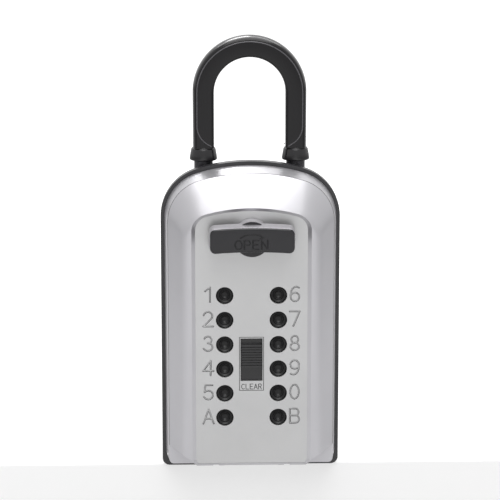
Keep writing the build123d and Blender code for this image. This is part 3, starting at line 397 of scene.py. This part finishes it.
sleeve_mesh = bmesh.new()
ring = [sleeve_mesh.verts.new((LEG_X + x, SHACKLE_Y + y, SLEEVE_FOOT)) for x, y in section]
foot = sleeve_mesh.faces.new(ring)
ends = bmesh.ops.extrude_face_region(sleeve_mesh, geom=[foot])
top_verts = [item for item in ends["geom"] if isinstance(item, bmesh.types.BMVert)]
top_face = [item for item in ends["geom"] if isinstance(item, bmesh.types.BMFace)]
bmesh.ops.translate(sleeve_mesh, vec=(0, 0, ARCH_Z - SLEEVE_FOOT), verts=top_verts)
turned = bmesh.ops.spin(
    sleeve_mesh,
    geom=top_face,
    cent=(0, SHACKLE_Y, ARCH_Z),
    axis=(0, -1, 0),
    angle=pi,
    steps=ARCH_STEPS,
)
bmesh.ops.delete(sleeve_mesh, geom=top_face, context="FACES_ONLY")
last_face = [item for item in turned["geom_last"] if isinstance(item, bmesh.types.BMFace)]
ends = bmesh.ops.extrude_face_region(sleeve_mesh, geom=last_face)
bmesh.ops.delete(sleeve_mesh, geom=last_face, context="FACES_ONLY")
low_verts = [item for item in ends["geom"] if isinstance(item, bmesh.types.BMVert)]
bmesh.ops.translate(sleeve_mesh, vec=(0, 0, SLEEVE_FOOT - ARCH_Z), verts=low_verts)
bmesh.ops.recalc_face_normals(sleeve_mesh, faces=sleeve_mesh.faces)
shade_curves(sleeve_mesh, SHARP_ANGLE)
sleeve = new_piece("sleeve", sleeve_mesh, sleeve_paint)
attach(sleeve, "shackle")
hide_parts("shackle_sleeve")


def split_at_corners(stroke):
    """A stroke as pieces that end wherever it turns sharply."""
    pieces = [[Vector(stroke[0])]]
    for before, here, after in zip(stroke, stroke[1:], stroke[2:]):
        pieces[-1].append(Vector(here))
        turn = (Vector(here) - Vector(before)).angle(Vector(after) - Vector(here), 0)
        if turn > PEN_CORNER:
            pieces.append([Vector(here)])
    pieces[-1].append(Vector(stroke[-1]))
    return pieces


def pen_strokes(name, strokes, radius, paint):
    """Strokes of one pen width, each a list of places, with round ends and corners."""
    path = bpy.data.curves.new(name, "CURVE")
    path.dimensions = "3D"
    path.bevel_depth = radius
    path.bevel_resolution = PEN_ROUND
    path.use_fill_caps = True
    pieces = [piece for stroke in strokes for piece in split_at_corners(stroke)]
    for piece in pieces:
        line = path.splines.new("POLY")
        line.points.add(len(piece) - 1)
        for point, place in zip(line.points, piece):
            point.co = (*place, 1)
    drawn = bpy.data.objects.new(name, path)
    mesh = bmesh.new()
    mesh.from_mesh(drawn.to_mesh())
    drawn.to_mesh_clear()
    bpy.data.objects.remove(drawn)
    bpy.data.curves.remove(path)
    ends = {tuple(round(value, END_DECIMALS) for value in piece[at]) for piece in pieces for at in (0, -1)}
    for end in ends:
        bmesh.ops.create_uvsphere(
            mesh,
            u_segments=PEN_END_SEGMENTS,
            v_segments=PEN_END_SEGMENTS // 2,
            radius=radius * PEN_END,
            matrix=Matrix.Translation(end),
        )
    for face in mesh.faces:
        face.smooth = True
    return new_piece(name, mesh, paint)


arch = [pi * step / ARCH_STEPS for step in range(ARCH_STEPS + 1)]
turn = [BEAD_TURN * step / ROUND_STEPS for step in range(ROUND_STEPS + 1)]
bead_reach = LEG_X + bead_x
flat_edge = LEG_X - inner_x
beads = []
for face_side in (-1, 1):
    y = SHACKLE_Y + face_side * (SLEEVE_HALF_DEPTH - BEAD_SINK)
    over_arch = [(bead_reach * cos(a), y, ARCH_Z + (bead_reach - BEAD_DROP) * sin(a)) for a in arch]
    run_out = []
    for a in turn:
        x = bead_reach - BEAD_TURN_ACROSS * (1 - cos(a))
        past_flat = max(0, flat_edge - x)
        set_back = INNER_ROUND - (INNER_ROUND**2 - past_flat**2) ** 0.5
        run_out.append((x, y - face_side * set_back, BEAD_TURN_HIGH - BEAD_TURN_DOWN * sin(a)))
    left_run_out = [(-x, y, z) for x, y, z in run_out]
    beads.append(run_out[::-1] + over_arch + left_run_out)

# The bead is painted a lighter grey than the sleeve's black, as a painted highlight along it.
bead_highlight_paint = grained_paint(
    "bead_painted_highlight", BEAD_HIGHLIGHT_GREY, metal=0.0, roughness=0.28,
    grain=0.6 * mm, depth=0.003 * mm, tone=0.08,
)
sleeve_beads = pen_strokes("sleeve_beads", beads, BEAD_RADIUS, bead_highlight_paint)
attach(sleeve_beads, "shackle")

# Collars: black moulded drip skirts pushed onto the bar's feet, under the ends of the sleeve.
# Each has a small step at its top, a flared side and a rounded foot, and grows oval towards the top.
COLLAR_TOP = 132.8 * mm
COLLAR_FOOT = 127.45 * mm
COLLAR_OVAL = 1.10
COLLAR_STEPS = 64
COLLAR_SHARP = radians(40)
COLLAR_EDGE = 0.12 * mm
COLLAR_BLACK = (0.009, 0.0085, 0.010)


def turned(profile, axis, steps, closed):
    """A shape turned on a lathe: a profile of places goes once round an axis through the origin."""
    mesh = bmesh.new()
    line = [mesh.verts.new(place) for place in profile]
    nexts = line[1:] + line[:1] if closed else line[1:]
    outline = [mesh.edges.new(pair) for pair in zip(line, nexts)]
    bmesh.ops.spin(
        mesh,
        geom=line + outline,
        cent=(0, 0, 0),
        axis=axis,
        angle=2 * pi,
        steps=steps,
        use_merge=True,
    )
    bmesh.ops.remove_doubles(mesh, verts=mesh.verts, dist=MERGE_GAP)
    return mesh


# Radius and height in millimetres, from the bore at the foot round the outside to the bore at the top.
collar_profile = [
    (3.9, 0),
    (5.45, 0),
    (5.68, 0.25),
    (5.68, 0.7),
    (5.05, 4.3),
    (4.85, 4.75),
    (4.5, 4.95),
    (4.42, 5.35),
    (3.9, 5.35),
]
collar_paint = grained_paint(
    "collar", COLLAR_BLACK, metal=0.0, roughness=0.20,
    grain=0.5 * mm, depth=0.004 * mm, tone=0.06, shine=0.45,
)
for side, x in (("left", -LEG_X), ("right", LEG_X)):
    profile = [(radius * mm, 0, height * mm) for radius, height in collar_profile]
    mesh = turned(profile, (0, 0, 1), COLLAR_STEPS, closed=True)
    for vert in mesh.verts:
        rise = vert.co.z / (COLLAR_TOP - COLLAR_FOOT)
        vert.co.y *= 1 + (COLLAR_OVAL - 1) * rise
    bmesh.ops.translate(mesh, vec=(x, SHACKLE_Y, COLLAR_FOOT), verts=mesh.verts)
    bmesh.ops.recalc_face_normals(mesh, faces=mesh.faces)
    shade_curves(mesh, COLLAR_SHARP)
    collar = new_piece(f"collar_{side}_skirt", mesh, collar_paint)
    soften_edges(collar, COLLAR_EDGE)
    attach(collar, "shackle")
    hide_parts(f"collar_{side}")

# Cover: a zinc die casting with a drafted rim, a sloped dome and an arched window.
# It is sprayed with a silver metallic lacquer, whose flakes give a soft broad shine.
COVER_SILVER = (0.45, 0.445, 0.465)
COVER_EDGE = 0.28 * mm

cover_paint = grained_paint(
    "cover", COVER_SILVER, metal=0.70, roughness=0.32,
    grain=0.20 * mm, depth=0.0016 * mm, tone=0.02,
)
cover = new_piece("cover_casting", merged_copy("cover_shell"), cover_paint)
soften_edges(cover, COVER_EDGE)
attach(cover, "cover")
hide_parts("cover_shell")

# Parting line: the fine line that the die leaves along the corner between the cover's rim and its
# dome. It is painted dark grey, as painted shade in that corner.
SEAM_Y = -8 * mm
SEAM_FOOT = 12 * mm
SEAM_MIDDLE = 60 * mm
SEAM_RADIUS = 0.14 * mm
SEAM_SINK = 0.05 * mm
SEAM_SHADE_GREY = (0.07, 0.069, 0.072)

# Dark grey for the parting line, as painted shade.
seam_shade_paint = grained_paint(
    "seam_painted_shade", SEAM_SHADE_GREY, metal=0.2, roughness=0.5,
    grain=0.3 * mm, depth=0.002 * mm, tone=0.05,
)
seam_places = {
    (vert.co.x, vert.co.z)
    for vert in nodes["cover_shell"].data.vertices
    if abs(vert.co.y - SEAM_Y) < MERGE_GAP and vert.co.z > SEAM_FOOT
}
side_x = max(x for x, z in seam_places)
over_dome = sorted(seam_places, key=lambda place: atan2(place[0], place[1] - SEAM_MIDDLE))
seam_path = [(-side_x, SEAM_FOOT)] + over_dome + [(side_x, SEAM_FOOT)]
sunk = 1 - SEAM_SINK / side_x
seam_stroke = [(x * sunk, SEAM_Y + SEAM_SINK, SEAM_MIDDLE + (z - SEAM_MIDDLE) * sunk) for x, z in seam_path]
seam_painted_shade = pen_strokes("cover_parting_line", [seam_stroke], SEAM_RADIUS, seam_shade_paint)
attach(seam_painted_shade, "cover")

# Faceplate: a satin nickel-plated plate behind the window, with the characters, the word for clear
# and the slider's frame engraved by round cutters. The character grooves' sides are painted darker
# than the plate, and the fine grooves of the word and the frame dark all over, as painted shade.
PANEL_Y = -13.5 * mm
PLATE_SILVER = (0.47, 0.47, 0.473)
GROOVE_SHADE_GREY = (0.10, 0.10, 0.101)
GROOVE_FLAT = 0.86
FINE_SHADE_GREY = (0.10, 0.10, 0.10)
CUTTER_RADIUS = 0.43 * mm
CUTTER_SINK = 0.2 * mm
CHARACTER_WIDTH = 4.2 * mm
CHARACTER_HEIGHT = 6.05 * mm
CHARACTER_LIFT = 0.5 * mm
CHARACTER_X = 17.5 * mm
FIRST_ROW = 76.5 * mm
ROW_PITCH = 10.24 * mm
ARC_STEPS = 14
WORD_RADIUS = 0.16 * mm
WORD_FOOT = 37.3 * mm
WORD_WIDTH = 1.36 * mm
WORD_HEIGHT = 2.1 * mm
WORD_GAP = 0.36 * mm
LINE_RADIUS = 0.14 * mm
FRAME_HALF = 4.87 * mm
FRAME_LOW = 36.75 * mm
FRAME_HIGH = 59.1 * mm


def arc(centre_x, centre_y, radius_x, radius_y, start, end):
    """Points along part of an ellipse, between two angles in degrees."""
    turns = [radians(start + (end - start) * step / ARC_STEPS) for step in range(ARC_STEPS + 1)]
    return [(centre_x + radius_x * cos(a), centre_y + radius_y * sin(a)) for a in turns]


# Each character as strokes on a unit square: across from the left, and up from the foot.
letters = {
    "0": [arc(0.5, 0.5, 0.42, 0.5, 90, 450)],
    "1": [[(0.22, 0.74), (0.68, 1.0), (0.68, 0.0)]],
    "2": [arc(0.48, 0.72, 0.42, 0.28, 170, -35) + [(0.04, 0.0), (0.96, 0.0)]],
    "3": [arc(0.46, 0.76, 0.36, 0.24, 155, -90) + arc(0.46, 0.27, 0.44, 0.27, 90, -155)],
    "4": [[(0.72, 0.0), (0.72, 1.0), (0.0, 0.3), (1.0, 0.3)]],
    "5": [[(0.88, 1.0), (0.2, 1.0), (0.12, 0.52)] + arc(0.48, 0.31, 0.45, 0.31, 140, -155)],
    "6": [arc(0.5, 0.3, 0.42, 0.3, -180, 180), arc(0.62, 0.42, 0.54, 0.58, 195, 62)],
    "7": [[(0.02, 1.0), (0.96, 1.0), (0.36, 0.0)]],
    "8": [arc(0.5, 0.76, 0.34, 0.24, 90, 450), arc(0.5, 0.26, 0.42, 0.26, 90, 450)],
    "9": [arc(0.5, 0.7, 0.42, 0.3, 0, 360), arc(0.38, 0.58, 0.54, 0.58, 15, -118)],
    "A": [[(0.0, 0.0), (0.5, 1.0), (1.0, 0.0)], [(0.17, 0.34), (0.83, 0.34)]],
    "B": [
        [(0.06, 0.0), (0.06, 1.0)] + arc(0.6, 0.76, 0.3, 0.24, 90, -90) + [(0.06, 0.52)],
        [(0.6, 0.52)] + arc(0.6, 0.26, 0.36, 0.26, 90, -90) + [(0.06, 0.0)],
    ],
    "C": [arc(0.55, 0.5, 0.48, 0.5, 48, 312)],
    "E": [[(0.9, 1.0), (0.08, 1.0), (0.08, 0.0), (0.9, 0.0)], [(0.08, 0.52), (0.76, 0.52)]],
    "L": [[(0.1, 1.0), (0.1, 0.0), (0.9, 0.0)]],
    "N": [[(0.06, 0.0), (0.06, 1.0), (0.94, 0.0), (0.94, 1.0)]],
    "O": [arc(0.5, 0.5, 0.5, 0.5, 90, 450)],
    "P": [[(0.08, 0.0), (0.08, 1.0)] + arc(0.56, 0.74, 0.36, 0.26, 90, -90) + [(0.08, 0.48)]],
    "R": [
        [(0.08, 0.0), (0.08, 1.0)] + arc(0.56, 0.75, 0.34, 0.25, 90, -90) + [(0.08, 0.5)],
        [(0.5, 0.5), (0.92, 0.0)],
    ],
}


def written(text, centre_x, base_z, width, height, gap):
    """The strokes of a word as upright places, centred on a place across."""
    pitch = width + gap
    left = centre_x - (pitch * len(text) - gap) / 2
    strokes = []
    for place, letter in enumerate(text):
        for stroke in letters[letter]:
            strokes.append([(left + place * pitch + u * width, base_z + v * height) for u, v in stroke])
    return strokes


def engrave(piece, cutters, groove_shade_paint):
    """Cuts the cutters out of a piece for good, gives the cuts the cutters' dark paint as painted shade and
    drops the cutters.
    """
    piece.data.materials.append(groove_shade_paint)
    for cutter in cutters:
        cut = piece.modifiers.new("engrave", "BOOLEAN")
        cut.material_mode = "TRANSFER"
        cut.operation = "DIFFERENCE"
        cut.solver = "EXACT"
        cut.use_self = True
        cut.object = cutter
    shaped = bmesh.new()
    shaped.from_mesh(piece.evaluated_get(bpy.context.evaluated_depsgraph_get()).to_mesh())
    piece.modifiers.clear()
    shade_slot = piece.data.materials.find(groove_shade_paint.name)
    # Flat faces cut in the shade paint go back to the piece's own finish, so only the steep sides keep the
    # painted shade.
    for face in shaped.faces:
        if face.material_index == shade_slot and abs(face.normal.y) > GROOVE_FLAT:
            face.material_index = 0
    shade_curves(shaped, SHARP_ANGLE)
    shaped.to_mesh(piece.data)
    shaped.free()
    for cutter in cutters:
        bpy.data.objects.remove(cutter)


def at_depth(strokes, y):
    """Flat strokes laid into an upright plane at a depth."""
    return [[(x, y, z) for x, z in stroke] for stroke in strokes]


columns = ((-CHARACTER_X, "12345A"), (CHARACTER_X, "67890B"))
characters = []
for x, column in columns:
    for row, letter in enumerate(column):
        base = FIRST_ROW + CHARACTER_LIFT - row * ROW_PITCH - CHARACTER_HEIGHT / 2
        characters += written(letter, x, base, CHARACTER_WIDTH, CHARACTER_HEIGHT, 0)

clear_word = written("CLEAR", 0, WORD_FOOT, WORD_WIDTH, WORD_HEIGHT, WORD_GAP)
corners = [
    (-FRAME_HALF, FRAME_LOW),
    (FRAME_HALF, FRAME_LOW),
    (FRAME_HALF, FRAME_HIGH),
    (-FRAME_HALF, FRAME_HIGH),
]
frame_lines = [list(pair) for pair in zip(corners, corners[1:] + corners[:1])]

plate_paint = grained_paint(
    "plate", PLATE_SILVER, metal=0.75, roughness=0.40,
    grain=0.35 * mm, depth=0.0022 * mm, tone=0.03,
)
# Painted shade: dark grey for the sides of the character grooves and for the whole of the fine grooves.
groove_shade_paint = grained_paint(
    "groove_painted_shade", GROOVE_SHADE_GREY, metal=0.5, roughness=0.45,
    grain=0.2 * mm, depth=0.003 * mm, tone=0.05,
)
fine_shade_paint = grained_paint(
    "fine_groove_painted_shade", FINE_SHADE_GREY, metal=0.3, roughness=0.5,
    grain=0.2 * mm, depth=0.003 * mm, tone=0.05,
)
plate = new_piece("faceplate_engraved", merged_copy("faceplate"), plate_paint)
plate.data.materials.append(fine_shade_paint)
character_path = at_depth(characters, PANEL_Y + CUTTER_SINK)
plate_cutters = [
    pen_strokes("character_cutter", character_path, CUTTER_RADIUS, groove_shade_paint),
    pen_strokes("word_cutter", at_depth(clear_word, PANEL_Y), WORD_RADIUS, fine_shade_paint),
    pen_strokes("line_cutter", at_depth(frame_lines, PANEL_Y), LINE_RADIUS, fine_shade_paint),
]
engrave(plate, plate_cutters, groove_shade_paint)
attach(plate, "cover")
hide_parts("faceplate")

# Buttons: black moulded caps in the plate's holes, each with a finger dish and a small raised eye.
# A flange holds each one behind the plate, and its stem carries on into the lock case.
BUTTON_BLACK = (0.008, 0.0078, 0.0085)
BUTTON_X = 10.85 * mm
HEAD_Y = -12.7 * mm
BUTTON_STEPS = 40
BUTTON_SHARP = radians(50)

button_paint = grained_paint(
    "button", BUTTON_BLACK, metal=0.0, roughness=0.34,
    grain=0.4 * mm, depth=0.003 * mm, tone=0.06, shine=0.28,
)

# Radius and depth in millimetres, from the middle of the eye out to the rim and back along the stem.
button_profile = [
    (0.0, 1.12),
    (0.5, 1.06),
    (0.95, 0.90),
    (1.35, 0.66),
    (1.62, 0.38),
    (1.76, 0.18),
    (1.90, 0.14),
    (2.05, 0.30),
    (2.25, 0.50),
    (2.55, 0.42),
    (2.85, 0.16),
    (3.05, 0.0),
    (3.22, 0.05),
    (3.35, 0.24),
    (3.35, 1.80),
    (4.0, 1.80),
    (4.0, 2.70),
    (1.4, 2.70),
    (1.4, 10.1),
    (0.0, 10.1),
]
for side, column in ((-1, "12345a"), (1, "67890b")):
    for row, letter in enumerate(column):
        profile = [(radius * mm, depth * mm, 0) for radius, depth in button_profile]
        mesh = turned(profile, (0, 1, 0), BUTTON_STEPS, closed=False)
        place = (side * BUTTON_X, HEAD_Y, FIRST_ROW - row * ROW_PITCH)
        bmesh.ops.translate(mesh, vec=place, verts=mesh.verts)
        bmesh.ops.recalc_face_normals(mesh, faces=mesh.faces)
        shade_curves(mesh, BUTTON_SHARP)
        button = new_piece(f"button_cap_{letter}", mesh, button_paint)
        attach(button, f"button_{letter}")
        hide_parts(f"button_{letter}")

# Clear slider: a black moulded runner with a ribbed thumb piece in the middle of its window.
# The ribs run across, so that a thumb can push it down, and the moulding's edges are slightly round.
SLIDER_BLACK = (0.010, 0.0098, 0.011)
SLIDER_EDGE = 0.07 * mm

slider_paint = grained_paint(
    "slider", SLIDER_BLACK, metal=0.0, roughness=0.24,
    grain=0.4 * mm, depth=0.004 * mm, tone=0.06, shine=0.45,
)
slider = new_piece("slider_runner", merged_copy("clear_slider"), slider_paint)
soften_edges(slider, SLIDER_EDGE)
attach(slider, "clear")
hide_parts("clear_slider")

# Thumb-turn: a die casting, a round boss with a curved wing across it. Its face is lacquered dark grey.
# The faces that turn away from the front are light satin metal, partly the bare metal of the grip sides
# and partly a painted highlight where the wing's top side catches the light. The word for open and the
# arrow are cut into the face, and the cuts' sides are painted near black as painted shade.
KNOB_GREY = (0.012, 0.0115, 0.014)
KNOB_SIDE_METAL_AND_HIGHLIGHT = (0.42, 0.41, 0.43)
SIDE_LEAN = 0.35
KNOB_FACE = -25 * mm
CUT_SHADE_BLACK = (0.004, 0.004, 0.0045)
LETTER_RADIUS = 0.29 * mm
OPEN_X = -0.35 * mm
OPEN_FOOT = 98.2 * mm
OPEN_WIDTH = 2.7 * mm
OPEN_HEIGHT = 3.6 * mm
OPEN_GAP = 0.75 * mm
SWEEP_Z = 96.0 * mm
SWEEP_RADII = (8.4 * mm, 8.2 * mm)
SWEEP_START = 124
SWEEP_END = 58
OUTER_BARB = (-1.5 * mm, 0.9 * mm)
INNER_BARB = (-1.3 * mm, -0.4 * mm)

knob_paint = grained_paint(
    "knob", KNOB_GREY, metal=0.0, roughness=0.24,
    grain=0.35 * mm, depth=0.003 * mm, tone=0.06, shine=0.38,
)
knob_side_metal_and_highlight_paint = grained_paint(
    "knob_side_metal_and_painted_highlight", KNOB_SIDE_METAL_AND_HIGHLIGHT, metal=0.75, roughness=0.34,
    grain=0.35 * mm, depth=0.003 * mm, tone=0.05,
)
# Near black for the sides of the cuts in the face, as painted shade.
knob_groove_shade_paint = grained_paint(
    "knob_groove_painted_shade", CUT_SHADE_BLACK, metal=0.0, roughness=0.4,
    grain=0.3 * mm, depth=0.003 * mm, tone=0.06,
)
knob = new_piece("knob_casting", merged_copy("open_knob"), knob_paint)
knob.data.materials.append(knob_side_metal_and_highlight_paint)
# Faces turned away from the front take the light metal: bare grip sides, and a painted highlight on the
# wing's top side.
for face in knob.data.polygons:
    if abs(face.normal.y) < SIDE_LEAN:
        face.material_index = 1
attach(knob, "knob")
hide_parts("open_knob")

open_word = written("OPEN", OPEN_X, OPEN_FOOT, OPEN_WIDTH, OPEN_HEIGHT, OPEN_GAP)
sweep = arc(0, SWEEP_Z, *SWEEP_RADII, SWEEP_START, SWEEP_END)
tip_x, tip_z = sweep[-1]
arrow_head = [[(tip_x + x, tip_z + z), (tip_x, tip_z)] for x, z in (OUTER_BARB, INNER_BARB)]
knob_strokes = at_depth(open_word + [sweep] + arrow_head, KNOB_FACE)
knob_cutter = pen_strokes("knob_cutter", knob_strokes, LETTER_RADIUS, knob_groove_shade_paint)
engrave(knob, [knob_cutter], knob_groove_shade_paint)
